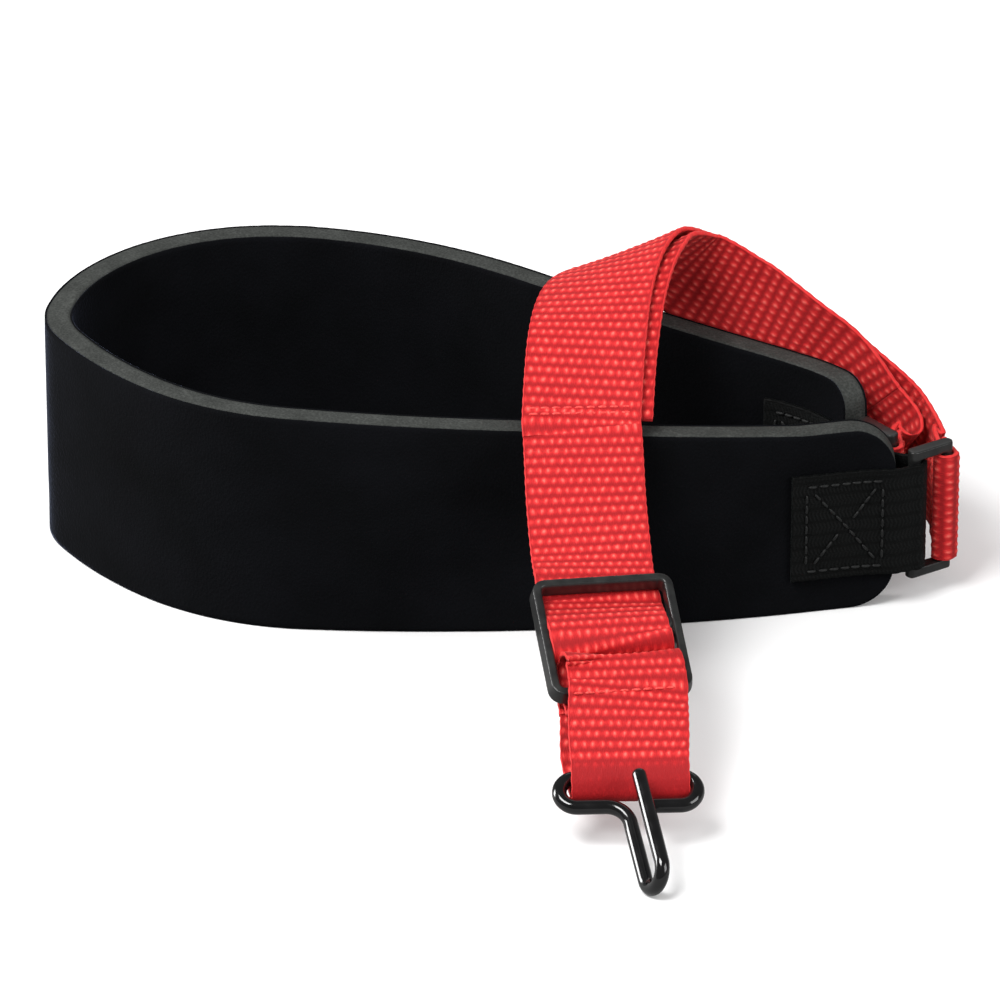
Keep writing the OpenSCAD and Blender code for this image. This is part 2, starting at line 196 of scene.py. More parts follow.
# ---- Meshes ----
def new_object(name, verts, faces, material, smooth=True):
    mesh = bpy.data.meshes.new(name)
    mesh.from_pydata((np.asarray(verts) * MM).tolist(), [], faces)
    mesh.validate()
    mesh.materials.append(material)
    mesh.polygons.foreach_set("use_smooth", [smooth] * len(mesh.polygons))
    obj = bpy.data.objects.new(name, mesh)
    bpy.context.scene.collection.objects.link(obj)
    return obj


def point_values(obj, name, values):
    attribute = obj.data.attributes.new(name, "FLOAT", "POINT")
    attribute.data.foreach_set("value", np.asarray(values, np.float32))


def point_vectors(obj, name, values):
    attribute = obj.data.attributes.new(name, "FLOAT_VECTOR", "POINT")
    attribute.data.foreach_set("vector", np.asarray(values, np.float32).ravel())


def loft(name, rings, material):
    """A closed skin over rings of points, shape (n, k, 3), with both ends capped."""
    n, k, _ = rings.shape
    faces = []
    for i in range(n - 1):
        a, b = i * k, (i + 1) * k
        faces += [(a + j, a + (j + 1) % k, b + (j + 1) % k, b + j) for j in range(k)]
    faces.append(tuple(reversed(range(k))))
    faces.append(tuple(range((n - 1) * k, n * k)))
    obj = new_object(name, rings.reshape(-1, 3), faces, material)
    for cap in (-1, -2):
        obj.data.polygons[cap].use_smooth = False
    return obj


def dress(obj, body, slot, *nodes):
    """Rides a piece on its body and hides the CAD nodes it stands for. The slot argument is not used."""
    if body:
        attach(obj, body)
    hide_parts(*nodes)
    return obj


# ---- Webbing: a strip with its weave raised in the mesh ----
DOT = 1.85              # distance between dots across the strap
ROW = 2.5               # distance between rows of dots along it


def dot_weave(u, v):
    """Height from 0 to 1: rows of knots, each row half a dot aside from the next."""
    row = 0.5 + 0.5 * np.cos(2 * np.pi * v / ROW)
    aside = np.clip(3 * np.cos(np.pi * v / ROW), -1, 1)
    jitter = 0.11 * np.sin(1.9 * u + 0.7 * v) + 0.09 * np.sin(2.3 * v - 1.1 * u + 1.0)
    knot = (0.5 + 0.5 * np.cos(2 * np.pi * (u + jitter) / DOT) * aside) ** 2.2
    return np.clip(row ** 0.8 * (0.36 + 0.64 * knot), 0, 1)


RIB = 0.8               # distance between ribs of the black webbing


def rib_weave(u, v):
    """Height of the black webbing: small slanted ribs in columns."""
    column = np.abs((u / 3.1) % 1 - 0.5)
    slant = np.where((np.floor(u / 3.1) % 2) == 0, 1, -1)
    ribs = 0.5 + 0.5 * np.cos(2 * np.pi * (v + slant * 0.35 * u) / RIB)
    return np.clip(0.35 + 0.65 * ribs * np.clip(column * 6, 0.15, 1), 0, 1)


def crowding(p):
    """The webbing fills the slider and is crowded narrower inside the hook."""
    return np.interp((p - HOOK_BAR) @ RUN_Y, [4, 14, 49, 53], [0.96, 1.0, 1.012, 1.0])


def webbing(name, keys, material, thickness=WEB_T, width=WEB_W, relief=0.26, pattern=dot_weave,
            step=0.36, crowd=crowding, part=(0, None), press=None):
    """A strip through keys of [x, y, z, width direction], with raised weave on both faces.

    part is the stretch to build, in millimetres along the keys: pieces of one strip meet without a seam.
    press gives the share of the weave that is left where the strip is pulled tight."""
    rows, along = resample(spline(keys), step)
    p, b, n, _ = strip_frames(rows)
    first = int(np.argmin(np.abs(along - part[0])))
    last = len(rows) if part[1] is None else int(np.argmin(np.abs(along - part[1]))) + 1
    wide = crowd(p)
    left = np.ones(len(rows)) if press is None else press(p)
    count = int(width / 0.31) // 2 * 2 + 1
    u = np.linspace(-0.5, 0.5, count)
    edge = np.radians([60, 20, -20, -60])
    half = thickness / 2
    bevel = 0.35
    top_u = u * (width - 2 * bevel)
    rings, height, yarn = [], [], []
    fade = np.clip((width / 2 - np.abs(top_u)) / 0.9, 0.25, 1)
    for i in range(first, last):
        v = along[i]
        h_top = pattern(top_u, v) * fade * left[i]
        h_low = pattern(top_u + DOT / 2, v) * fade * left[i]
        z_top = half - relief * (1 - h_top)
        z_low = -half + relief * (1 - h_low)
        scallop = 0.12 * math.cos(2 * math.pi * v / ROW)
        ex = width / 2 - bevel + bevel * np.cos(edge) + scallop * 0.5 - 0.06
        ez = (half - relief * 0.7) * np.sin(edge) / math.sin(math.radians(60))
        x = np.concatenate([top_u, ex, top_u[::-1], -ex[::-1]]) * wide[i]
        z = np.concatenate([z_top, ez, z_low[::-1], ez[::-1]])
        rings.append(p[i] + np.outer(x, b[i]) + np.outer(z, n[i]))
        height.append(np.concatenate([h_top, [0.5] * 4, h_low[::-1], [0.5] * 4]))
        yarn.append(np.stack([x, np.full(len(x), v), z], 1))
    obj = loft(name, np.array(rings)[:, ::-1], material)
    # The relief attribute holds the weave's height; the webbing material paints it as painted highlight on
    # the knots and painted shade in the hollows.
    point_values(obj, "relief", np.array(height)[:, ::-1].ravel())
    point_vectors(obj, "yarn", np.array(yarn)[:, ::-1].reshape(-1, 3))
    return obj


# ---- Materials ----
def make_material(name):
    mat = bpy.data.materials.new(name)
    mat.use_nodes = True
    nodes = mat.node_tree.nodes
    return mat, nodes, mat.node_tree.links, nodes["Principled BSDF"]


def attribute_node(nodes, name):
    node = nodes.new("ShaderNodeAttribute")
    node.attribute_name = name
    return node


def noise_node(nodes, links, vector, scale, detail=3.0, rough=0.5):
    node = nodes.new("ShaderNodeTexNoise")
    node.inputs["Scale"].default_value = scale
    node.inputs["Detail"].default_value = detail
    node.inputs["Roughness"].default_value = rough
    links.new(vector, node.inputs["Vector"])
    return node.outputs["Fac"]


def ramp_node(nodes, links, fac, stops):
    node = nodes.new("ShaderNodeValToRGB")
    ramp = node.color_ramp
    while len(ramp.elements) < len(stops):
        ramp.elements.new(0.5)
    for element, (at, colour) in zip(ramp.elements, stops):
        element.position = at
        element.color = (*colour, 1)
    links.new(fac, node.inputs["Fac"])
    return node.outputs["Color"]


def math_node(nodes, links, kind, a, b):
    node = nodes.new("ShaderNodeMath")
    node.operation = kind
    for i, x in enumerate((a, b)):
        if isinstance(x, (int, float)):
            node.inputs[i].default_value = x
        else:
            links.new(x, node.inputs[i])
    return node.outputs[0]


def mix_node(nodes, links, fac, a, b, kind="MIX"):
    node = nodes.new("ShaderNodeMix")
    node.data_type = "RGBA"
    node.blend_type = kind
    for key, x in ((0, fac), (6, a), (7, b)):
        if isinstance(x, (int, float)):
            node.inputs[key].default_value = x
        elif isinstance(x, tuple):
            node.inputs[key].default_value = (*x, 1)
        else:
            links.new(x, node.inputs[key])
    return node.outputs[2]


def bump_node(nodes, links, height, strength, distance, shader):
    node = nodes.new("ShaderNodeBump")
    node.inputs["Strength"].default_value = strength
    node.inputs["Distance"].default_value = distance
    links.new(height, node.inputs["Height"])
    links.new(node.outputs["Normal"], shader.inputs["Normal"])


def scaled(nodes, links, vector, scale):
    node = nodes.new("ShaderNodeMapping")
    node.inputs["Scale"].default_value = scale
    links.new(vector, node.inputs["Vector"])
    return node.outputs["Vector"]


def object_coordinates(nodes):
    return nodes.new("ShaderNodeTexCoord").outputs["Object"]


def webbing_material(name, stops, rough, shine, sheen, sheen_tint, fine=0.5):
    """Woven yarn: colour follows the raised weave as painted light, knots lighter as painted highlight and
    hollows darker as painted shade, with fine threads over it.
    """
    mat, nodes, links, shader = make_material(name)
    relief = attribute_node(nodes, "relief").outputs["Fac"]
    yarn = attribute_node(nodes, "yarn").outputs["Vector"]
    threads = noise_node(nodes, links, scaled(nodes, links, yarn, (4.5, 0.8, 1.0)), 1.6, 2.0)
    blotch = noise_node(nodes, links, scaled(nodes, links, yarn, (0.25, 0.12, 1.0)), 1.0, 3.0)
    lift = math_node(nodes, links, "MULTIPLY", math_node(nodes, links, "SUBTRACT", threads, 0.5), fine)
    patch = math_node(nodes, links, "MULTIPLY", math_node(nodes, links, "SUBTRACT", blotch, 0.5), 0.22)
    # The relief term paints the knots lighter as painted highlight and the hollows darker as painted shade;
    # threads and patch add real yarn grain and random tone.
    level = math_node(nodes, links, "ADD", math_node(nodes, links, "ADD", relief, lift), patch)
    links.new(ramp_node(nodes, links, level, stops), shader.inputs["Base Color"])
    shader.inputs["Roughness"].default_value = rough
    shader.inputs["Specular IOR Level"].default_value = shine
    shader.inputs["Sheen Weight"].default_value = sheen
    shader.inputs["Sheen Roughness"].default_value = 0.4
    shader.inputs["Sheen Tint"].default_value = (*sheen_tint, 1)
    bump_node(nodes, links, threads, 0.7, 0.0003, shader)
    return mat


def thread_material(name, dark, light):
    mat, nodes, links, shader = make_material(name)
    place = object_coordinates(nodes)
    twist = noise_node(nodes, links, scaled(nodes, links, place, (2500, 2500, 2500)), 1.0, 2.0)
    links.new(ramp_node(nodes, links, twist, [(0.3, dark), (0.7, light)]), shader.inputs["Base Color"])
    shader.inputs["Roughness"].default_value = 0.5
    shader.inputs["Specular IOR Level"].default_value = 0.3
    shader.inputs["Sheen Weight"].default_value = 0.05
    bump_node(nodes, links, twist, 0.4, 0.0001, shader)
    return mat


def jersey_material():
    """Knitted face of the pad: near black with a blue cast, and fine columns of loops."""
    mat, nodes, links, shader = make_material("pad_jersey")
    yarn = attribute_node(nodes, "yarn").outputs["Vector"]
    loops = nodes.new("ShaderNodeTexVoronoi")
    loops.inputs["Scale"].default_value = 1.0
    links.new(scaled(nodes, links, yarn, (1.9, 1.4, 1.0)), loops.inputs["Vector"])
    cloud = noise_node(nodes, links, scaled(nodes, links, yarn, (0.05, 0.05, 1.0)), 1.0, 4.0)
    lint = noise_node(nodes, links, scaled(nodes, links, yarn, (3.0, 3.0, 1.0)), 1.0, 3.0, 0.7)
    base = ramp_node(nodes, links, cloud, [(0.3, (0.0016, 0.0018, 0.0023)), (0.75, (0.0036, 0.0039, 0.0052))])
    specks = ramp_node(nodes, links, lint, [(0.55, (0, 0, 0)), (0.85, (0.005, 0.0055, 0.007))])
    links.new(mix_node(nodes, links, 1.0, base, specks, "ADD"), shader.inputs["Base Color"])
    shader.inputs["Roughness"].default_value = 0.95
    shader.inputs["Specular IOR Level"].default_value = 0.08
    shader.inputs["Sheen Weight"].default_value = 0.20
    shader.inputs["Sheen Roughness"].default_value = 0.22
    shader.inputs["Sheen Tint"].default_value = (0.55, 0.65, 1.0, 1)
    bump_node(nodes, links, loops.outputs["Distance"], 0.35, 0.00025, shader)
    return mat


def foam_material():
    """Cut edge of the foam: mid grey with small open cells, their pits painted darker as painted shade."""
    mat, nodes, links, shader = make_material("foam_edge")
    place = object_coordinates(nodes)
    cells = nodes.new("ShaderNodeTexVoronoi")
    cells.inputs["Scale"].default_value = 1.0
    links.new(scaled(nodes, links, place, (1900, 1900, 1900)), cells.inputs["Vector"])
    cloud = noise_node(nodes, links, scaled(nodes, links, place, (160, 160, 160)), 1.0, 4.0)
    # Painted shade: the open cells are darker towards their middles, over a random grey tone from the cloud.
    painted_pit_shade = math_node(nodes, links, "MULTIPLY", cells.outputs["Distance"], 0.45)
    level = math_node(nodes, links, "ADD", painted_pit_shade, math_node(nodes, links, "MULTIPLY", cloud, 0.6))
    links.new(ramp_node(nodes, links, level, [(0.25, (0.022, 0.024, 0.022)), (0.6, (0.042, 0.045, 0.042)),
                                              (0.9, (0.070, 0.074, 0.069))]), shader.inputs["Base Color"])
    shader.inputs["Roughness"].default_value = 0.92
    shader.inputs["Specular IOR Level"].default_value = 0.2
    bump_node(nodes, links, cells.outputs["Distance"], 0.6, 0.0002, shader)
    return mat


def plastic_material(name, dark, light, rough, coat=0.0, grain=0.15):
    """Moulded or dipped plastic: a soft mottle in colour and roughness, with fine grain."""
    mat, nodes, links, shader = make_material(name)
    place = object_coordinates(nodes)
    mottle = noise_node(nodes, links, scaled(nodes, links, place, (350, 350, 350)), 1.0, 4.0)
    pores = noise_node(nodes, links, scaled(nodes, links, place, (2600, 2600, 2600)), 1.0, 2.0)
    links.new(ramp_node(nodes, links, mottle, [(0.3, dark), (0.75, light)]), shader.inputs["Base Color"])
    spread = math_node(nodes, links, "MULTIPLY", math_node(nodes, links, "SUBTRACT", mottle, 0.5), 0.25)
    links.new(math_node(nodes, links, "ADD", spread, rough), shader.inputs["Roughness"])
    shader.inputs["Specular IOR Level"].default_value = 0.35
    shader.inputs["Coat Weight"].default_value = coat
    shader.inputs["Coat Roughness"].default_value = 0.05
    bump_node(nodes, links, pores, grain, 0.00005, shader)
    return mat


def steel_material():
    mat, nodes, links, shader = make_material("drawn_steel")
    place = object_coordinates(nodes)
    lines = noise_node(nodes, links, scaled(nodes, links, place, (4000, 400, 400)), 1.0, 3.0)
    links.new(ramp_node(nodes, links, lines, [(0.3, (0.35, 0.35, 0.36)), (0.7, (0.6, 0.6, 0.62))]),
              shader.inputs["Base Color"])
    links.new(math_node(nodes, links, "ADD", math_node(nodes, links, "MULTIPLY", lines, 0.3), 0.2),
              shader.inputs["Roughness"])
    shader.inputs["Metallic"].default_value = 1.0
    return mat


# Red webbing: the middle stops are the webbing's own red; the lowest is painted shade in the weave's hollows
# and the top one a salmon painted highlight on its knots.
RED = webbing_material("red_webbing", [(0.05, (0.36, 0.006, 0.009)), (0.35, (0.58, 0.014, 0.017)),
                                       (0.65, (0.76, 0.045, 0.042)), (1.00, (0.94, 0.165, 0.130))],
                       0.62, 0.22, 0.16, (1.0, 0.45, 0.4))
# Black webbing: its own near-black, with the top stop a painted highlight on the ribs' crests and the low
# stop painted shade between them.
BLACK_WEB = webbing_material("tab_webbing", [(0.05, (0.0008, 0.0009, 0.0009)),
                                             (0.6, (0.0022, 0.0025, 0.0024)), (1.0, (0.0075, 0.008, 0.008))],
                             0.55, 0.10, 0.02, (0.8, 0.9, 0.9))
RED_THREAD = thread_material("red_thread", (0.60, 0.016, 0.018), (0.92, 0.11, 0.09))
BLACK_THREAD = thread_material("black_thread", (0.003, 0.0033, 0.0033), (0.013, 0.014, 0.0135))
JERSEY = jersey_material()
FOAM = foam_material()
PLASTIC = plastic_material("black_plastic", (0.008, 0.008, 0.0083), (0.022, 0.023, 0.022), 0.36, 0.3)
COATING = plastic_material("hook_coating", (0.002, 0.002, 0.0022), (0.005, 0.005, 0.0055), 0.16, 0.8, 0.04)
STEEL = steel_material()


# ---- The pad: arcs of [length, turn], walked clockwise from the end of the front arm ----
PAD_ARCS = [(12, 13), (113, -18), (35, -36), (29, -20), (13, -41),
            (64, -78.5), (49.5, -30), (67, 5), (21.5, -33)]
PAD_HEADING = 180.6
BAR_REACH = 4.0         # from the pad's end to a ring's inner bar
FRONT_BAR = joint_place("front_ring_swing") * vec(1, 1, 0)
REAR_BAR = joint_place("rear_ring_swing") * vec(1, 1, 0)
WEB_Z = sum(corner[2] for corner in node_box("front_ring")) / 2


def pad_course(step):
    """Rows of [x, y, heading, distance] along the middle of the pad."""
    x, y = (FRONT_BAR + BAR_REACH * heading(PAD_HEADING))[:2]
    rows, turn, done = [], PAD_HEADING, 0.0
    for length, bend in PAD_ARCS:
        r = length / math.radians(bend)
        n = max(2, int(length / step))
        for k in range(n):
            a = bend * k / n
            rows.append((x + r * (math.sin(math.radians(turn + a)) - math.sin(math.radians(turn))),
                         y - r * (math.cos(math.radians(turn + a)) - math.cos(math.radians(turn))),
                         turn + a, done + length * k / n))
        x += r * (math.sin(math.radians(turn + bend)) - math.sin(math.radians(turn)))
        y -= r * (math.cos(math.radians(turn + bend)) - math.cos(math.radians(turn)))
        turn += bend
        done += length
    rows.append((x, y, turn, done))
    return np.array(rows)


PAD = pad_course(0.8)
PAD_LEN = PAD[-1, 3]


def pad_rows(distances):
    return np.stack([np.interp(distances, PAD[:, 3], PAD[:, i]) for i in range(3)], 1)


def pad_point(distance, side, z):
    """A point beside the pad's middle, to the outside of the loop for a positive side."""
    x, y, turn = pad_rows(np.array([distance]))[0]
    out = heading(turn + 90)
    return vec(x, y, 0) + side * out + z * UP


def pad_height(x):
    """Height of the pad at a place along X: it falls towards the rings."""
    share = np.interp(x, [-110, -35, 10, 70, 110], [0, 0.15, 0.4, 1, 1])
    return PAD_H - share * PAD_DROP


def corner_rise(d, r):
    """How far a rounded corner has cut in from the edge at distance d from the arm's end."""
    d = np.clip(d, 0, r)
    return r - np.sqrt(np.maximum(r * r - (r - d) ** 2, 0))


def soft_noise(u, v, size):
    """A smooth, repeatable unevenness between about -1 and 1."""
    a, b = u / size, v / size
    return (np.sin(1.7 * a + 0.9 * b + 0.3) + np.sin(-1.1 * a + 2.1 * b + 1.9)
            + np.sin(2.9 * a - 1.3 * b + 4.2) + np.sin(0.6 * a + 3.1 * b + 2.7)) / 4


def pad_stations():
    ends = CORNER_R * (1 - np.cos(np.linspace(0, np.pi / 2, 14)))
    middle = np.linspace(CORNER_R, PAD_LEN - CORNER_R, 430)
    return np.concatenate([ends[:-1], middle, (PAD_LEN - ends[:-1])[::-1]])


def pad_edges(stations, x):
    """Lower and upper edge of the pad at each station."""
    front = stations
    rear = PAD_LEN - stations
    low = np.maximum(corner_rise(front, CORNER_R), corner_rise(rear, CORNER_R))
    cut = np.maximum(corner_rise(front, CORNER_R), corner_rise(rear, REAR_TOP_R))
    return low, pad_height(x) - cut


def pad_piece(name, inner, outer, material, side_rows, edge_rows, uneven):
    """A layer of the pad between two offsets from its middle, with rounded long edges."""
    stations = pad_stations()
    rows = pad_rows(stations)
    low, high = pad_edges(stations, rows[:, 0])
    t = outer - inner
    edge_r = min(0.22, t * 0.4)
    rise = np.linspace(0, 1, side_rows)
    rings, yarn = [], []
    for i, (x, y, turn) in enumerate(rows):
        out = heading(turn + 90)
        z_side = low[i] + edge_r + rise * (high[i] - low[i] - 2 * edge_r)
        z_edge = np.linspace(1, 0, edge_rows + 2)[1:-1]
        off = inner + edge_r + z_edge * (t - 2 * edge_r)
        bulge = uneven * soft_noise(np.full(side_rows, stations[i]), z_side, 7.0)
        top_bump = 0.05 * soft_noise(np.full(edge_rows, stations[i]), off * 3, 0.7) - 0.03
        dent = np.minimum(bulge, 0.0)
        side = np.concatenate([outer + dent, off, inner - dent[::-1], off[::-1]])
        z = np.concatenate([z_side, high[i] + top_bump, z_side[::-1], low[i] - top_bump[::-1]])
        rings.append(vec(x, y, 0) + np.outer(side, out) + np.outer(z, UP))
        yarn.append(np.stack([np.full(len(z), stations[i]), z, side], 1))
    obj = loft(name, np.array(rings), material)
    point_vectors(obj, "yarn", np.array(yarn).reshape(-1, 3))
    return obj


def build_pad():
    gap = 0.02
    foam = pad_piece("pad_foam_core", -FOAM_T / 2, FOAM_T / 2, FOAM, 12, 9, 0.0)
    outer = pad_piece("pad_outer_face", FOAM_T / 2 + gap, PAD_T / 2, JERSEY, 46, 1, 0.10)
    inner = pad_piece("pad_inner_face", -PAD_T / 2, -FOAM_T / 2 - gap, JERSEY, 46, 1, 0.10)
    dress(foam, "neck_pad", "foam", "pad_foam")
    dress(outer, "neck_pad", "pad_fabric", "pad_outer_fabric")
    dress(inner, "neck_pad", "pad_fabric", "pad_inner_fabric")


# ---- Tabs: black webbing folded round the rings' inner bars ----
def wrap_keys(bar, radius, start, sweep, n=14):
    """Keys round an upright bar, from one plan direction through a sweep, in degrees."""
    return [(*(bar + radius * heading(start + sweep * i / n) + WEB_Z * UP), 0, 0, 1) for i in range(n + 1)]


def tab_keys(distances, bar, turn, sweep):
    d = PAD_T / 2 + 0.06 + TAB_T / 2
    outer = [(*pad_point(s, d, WEB_Z), 0, 0, 1) for s in distances]
    inner = [(*pad_point(s, -d, WEB_Z), 0, 0, 1) for s in reversed(distances)]
    radius = BAR_R + SLACK + TAB_T / 2
    return outer + wrap_keys(bar, radius, turn + 90, sweep) + inner


def build_tabs():
    steps = [TAB_LEN * (1 - i / 6) for i in range(7)]
    front = webbing("front_tab_webbing", tab_keys(steps, FRONT_BAR, PAD_HEADING, 180), BLACK_WEB,
                    TAB_T, relief=0.14, pattern=rib_weave, step=0.26)
    rear_turn = PAD[-1, 2]
    rear = webbing("rear_tab_webbing", tab_keys([PAD_LEN - s for s in steps], REAR_BAR, rear_turn, -180),
                   BLACK_WEB, TAB_T, relief=0.14, pattern=rib_weave, step=0.26)
    dress(front, "neck_pad", "tab_webbing", "front_tab")
    dress(rear, "neck_pad", "tab_webbing", "rear_tab")


# ---- Stitches: each CAD stitch becomes a rounded, bowed thread ----
def islands(node):
    """Vertex groups of a CAD node's separate stitches, in millimetres."""
    mesh = frame["nodes"][node].data
    co = np.array([v.co for v in mesh.vertices]) / MM
    keys = {}
    merged = [keys.setdefault(tuple(np.round(c, 3)), len(keys)) for c in co]
    parent = list(range(len(keys)))

    def root(i):
        while parent[i] != i:
            parent[i] = parent[parent[i]]
            i = parent[i]
        return i

    for e in mesh.edges:
        parent[root(merged[e.vertices[0]])] = root(merged[e.vertices[1]])
    groups = {}
    for place, i in keys.items():
        groups.setdefault(root(i), []).append(place)
    return [part for g in groups.values() for part in single_stitches(np.array(g))]


def single_stitches(points, pitch=2.15):
    """Stitches whose ends touch come as one group; it is cut back into single ones."""
    centre = points.mean(0)
    _, _, axes = np.linalg.svd(points - centre)
    place = (points - centre) @ axes[0]
    count = max(1, int(round((np.ptp(place) + 0.4) / pitch)))
    bins = np.clip(((place - place.min()) / (np.ptp(place) + 1e-6) * count).astype(int), 0, count - 1)
    return [points[bins == k] for k in range(count) if (bins == k).sum() > 3]


def stitch_mesh(points, out_hint):
    """A thread along the longest way of a stitch, bowed outward in its middle."""
    centre = points.mean(0)
    _, _, axes = np.linalg.svd(points - centre)
    size = np.abs((points - centre) @ axes.T).max(0)
    along, across, out = axes
    if out @ out_hint < 0:
        out = -out
    n, k = 9, 8
    t = np.linspace(-1, 1, n)
    middle = centre + np.outer(t * (size[0] + 0.12), along) + np.outer((1 - t**2) * 0.10 - 0.06, out)
    r = 0.27 * np.sqrt(np.maximum(1 - np.abs(t) ** 3.5, 0.02))
    a = 2 * np.pi * np.arange(k) / k
    return (middle[:, None, :] + r[:, None, None]
            * (np.cos(a)[None, :, None] * across + np.sin(a)[None, :, None] * out)), n, k


def build_stitches(name, node, body, material, slot, away_from, sink=0.0):
    """away_from gives the direction out of the webbing at a stitch; sink beds it into the weave."""
    verts, faces = [], []
    for points in islands(node):
        away = away_from(points.mean(0))
        rings, n, k = stitch_mesh(points - sink * unit(away), away)
        base = len(verts)
        verts += list(rings.reshape(-1, 3))
        for i in range(n - 1):
            faces += [(base + i * k + j, base + i * k + (j + 1) % k,
                       base + (i + 1) * k + (j + 1) % k, base + (i + 1) * k + j) for j in range(k)]
        faces.append(tuple(base + j for j in reversed(range(k))))
        faces.append(tuple(base + (n - 1) * k + j for j in range(k)))
    obj = new_object(name, verts, faces, material)
    bm = bmesh.new()
    bm.from_mesh(obj.data)
    bmesh.ops.recalc_face_normals(bm, faces=bm.faces)
    bm.to_mesh(obj.data)
    bm.free()
    return dress(obj, body, slot, node)


def away_from_pad(p):
    near = PAD[np.argmin(np.linalg.norm(PAD[:, :2] - p[:2], axis=1))]
    return vec(p[0] - near[0], p[1] - near[1], 0)


# ---- Moulded parts: boxes and rods joined into one skin, with soft edges ----
def moulded(name, parts, material, voxel, smooth_rounds):
    """parts: list of (vertices, faces) in millimetres, joined by a voxel remesh and smoothed."""
    verts, faces = [], []
    for v, f in parts:
        base = len(verts)
        verts += list(v)
        faces += [tuple(base + i for i in face) for face in f]
    obj = new_object(name, verts, faces, material)
    remesh = obj.modifiers.new("join", "REMESH")
    remesh.mode = "VOXEL"
    remesh.voxel_size = voxel * MM
    soften = obj.modifiers.new("soften", "SMOOTH")
    soften.factor = 0.5
    soften.iterations = smooth_rounds
    return applied(obj, material)


def applied(obj, material):
    """The object with its modifiers made real."""
    depsgraph = bpy.context.evaluated_depsgraph_get()
    mesh = bpy.data.meshes.new_from_object(obj.evaluated_get(depsgraph))
    obj.modifiers.clear()
    obj.data = mesh
    mesh.materials.clear()
    mesh.materials.append(material)
    mesh.polygons.foreach_set("use_smooth", [True] * len(mesh.polygons))
    return obj


def prism(outline, axis_a, axis_b, axis_c, origin, low, high):
    """An outline of (a, b) points, carried from low to high along axis_c."""
    n = len(outline)
    verts = [origin + a * axis_a + b * axis_b + c * axis_c for c in (low, high) for a, b in outline]
    faces = [tuple(reversed(range(n))), tuple(range(n, 2 * n))]
    faces += [(i, (i + 1) % n, n + (i + 1) % n, n + i) for i in range(n)]
    return verts, faces


def circle_outline(x, y, r, n=24):
    return [(x + r * math.cos(2 * math.pi * i / n), y + r * math.sin(2 * math.pi * i / n)) for i in range(n)]


def rounded_outline(x0, y0, x1, y1, r, n=6):
    """Points round a rectangle whose corners are arcs of n steps."""
    points = []
    corners = ((x1 - r, y1 - r), (x0 + r, y1 - r), (x0 + r, y0 + r), (x1 - r, y0 + r))
    for start, (cx, cy) in zip((0, 90, 180, 270), corners):
        points += [(cx + r * math.cos(math.radians(start + 90 * i / n)),
                    cy + r * math.sin(math.radians(start + 90 * i / n))) for i in range(n + 1)]
    return points


def outer_bar_of(node, inner_bar):
    """A ring's outer bar mirrors its inner bar about the middle of the ring's box."""
    low, high = node_box(node)
    return ((low + high) - inner_bar) * vec(1, 1, 0)


def build_ring(name, node, body, inner_bar):
    """Two long bars and two rounded ends."""
    low, high = node_box(node)
    across = unit(outer_bar_of(node, inner_bar) - inner_bar)
    side = np.cross(UP, across)
    origin = inner_bar * vec(1, 1, 0)
    end_t = 2.2
    parts = []
    for x in (0, RING_PITCH):
        parts.append(prism(circle_outline(x, 0, BAR_R), across, side, UP, origin, low[2] + 1, high[2] - 1))
    for z in (low[2], high[2] - end_t):
        outline = rounded_outline(-BAR_R, -BAR_R, RING_PITCH + BAR_R, BAR_R, 1.2)
        parts.append(prism(outline, across, side, UP, origin, z, z + end_t))
    obj = moulded(name, parts, PLASTIC, 0.24, 6)
    return dress(obj, body, "black_plastic", node)


def build_slider():
    """A frame with rounded corners and a bevelled inner edge, and a centre bar."""
    x_axis = slider_across()
    y_axis = unit(slider_point(0, 1, 0) - slider_point(0, 0, 0))
    z_axis = np.cross(x_axis, y_axis)
    origin = slider_point(0, 0, 0)
    parts = []
    outline = rounded_outline(-SLIDER_BAR / 2, -SLIDER_T / 2, SLIDER_BAR / 2, SLIDER_T / 2, 0.9)
    parts.append(prism(outline, y_axis, z_axis, x_axis, origin, -SLIDER_W / 2 - 1, SLIDER_W / 2 + 1))
    # the frame: one section, carried round a rounded rectangle of distances from the slot's edge
    half_w, half_l, corner = SLIDER_W / 2, SLIDER_L / 2 - END_BAR, 1.0
    inner = rounded_outline(-half_w, -half_l, half_w, half_l, corner, 8)
    grown = [rounded_outline(-half_w - d, -half_l - min(d, END_BAR), half_w + d, half_l + min(d, END_BAR),
                             corner + d, 8) for d in (0.35, 1.8, 2.2)]
    count = len(inner)
    section = [(inner, RAIL_UP - 0.45), (grown[0], RAIL_UP), (grown[1], RAIL_UP - 0.15), (grown[2], -0.8),
               (grown[2], -RAIL_DOWN + 0.4), (grown[0], -RAIL_DOWN), (inner, -RAIL_DOWN + 0.3)]
    verts = []
    for x_y, z in section:
        for x, y in x_y:
            lift = z
            if z < 0 and abs(y) > half_l - 1.5:
                lift = max(z, -SLIDER_T / 2)
            verts.append(origin + x * x_axis + y * y_axis + lift * z_axis)
    faces = []
    for k in range(len(section)):
        a, b = k * count, (k + 1) % len(section) * count
        faces += [(a + i, a + (i + 1) % count, b + (i + 1) % count, b + i) for i in range(count)]
    parts.append((verts, faces))
    obj = moulded("slider_body", parts, PLASTIC, 0.2, 3)
    return dress(obj, "slider", "black_plastic", "slider_frame")


# ---- Hook: one bent wire with a dipped coating ----
HOOK_R = 1.4            # the coated wire
COAT_R = 1.52           # the dip is a little thicker than its nominal radius
WIRE_R = 1.0            # the steel inside it
HOOK_DEPTH = 7.0        # distance between the rear and the front bar
HOOK_HALF = 10.4        # half the straight part of the rear bar
CUT_X = 3.4             # where the front bar is cut off
BEND_X = -4.8           # where the front bar turns down into the shaft
BEND_R = 5.0
HOOK_LEAN = 9.5         # degrees the shaft leans from straight down
TIP_TURN = 25.0         # degrees the tip's bend is turned out of the loop's plane
THROAT_R = 3.6
SHAFT_L = 14.0
TIP_L = 21.0


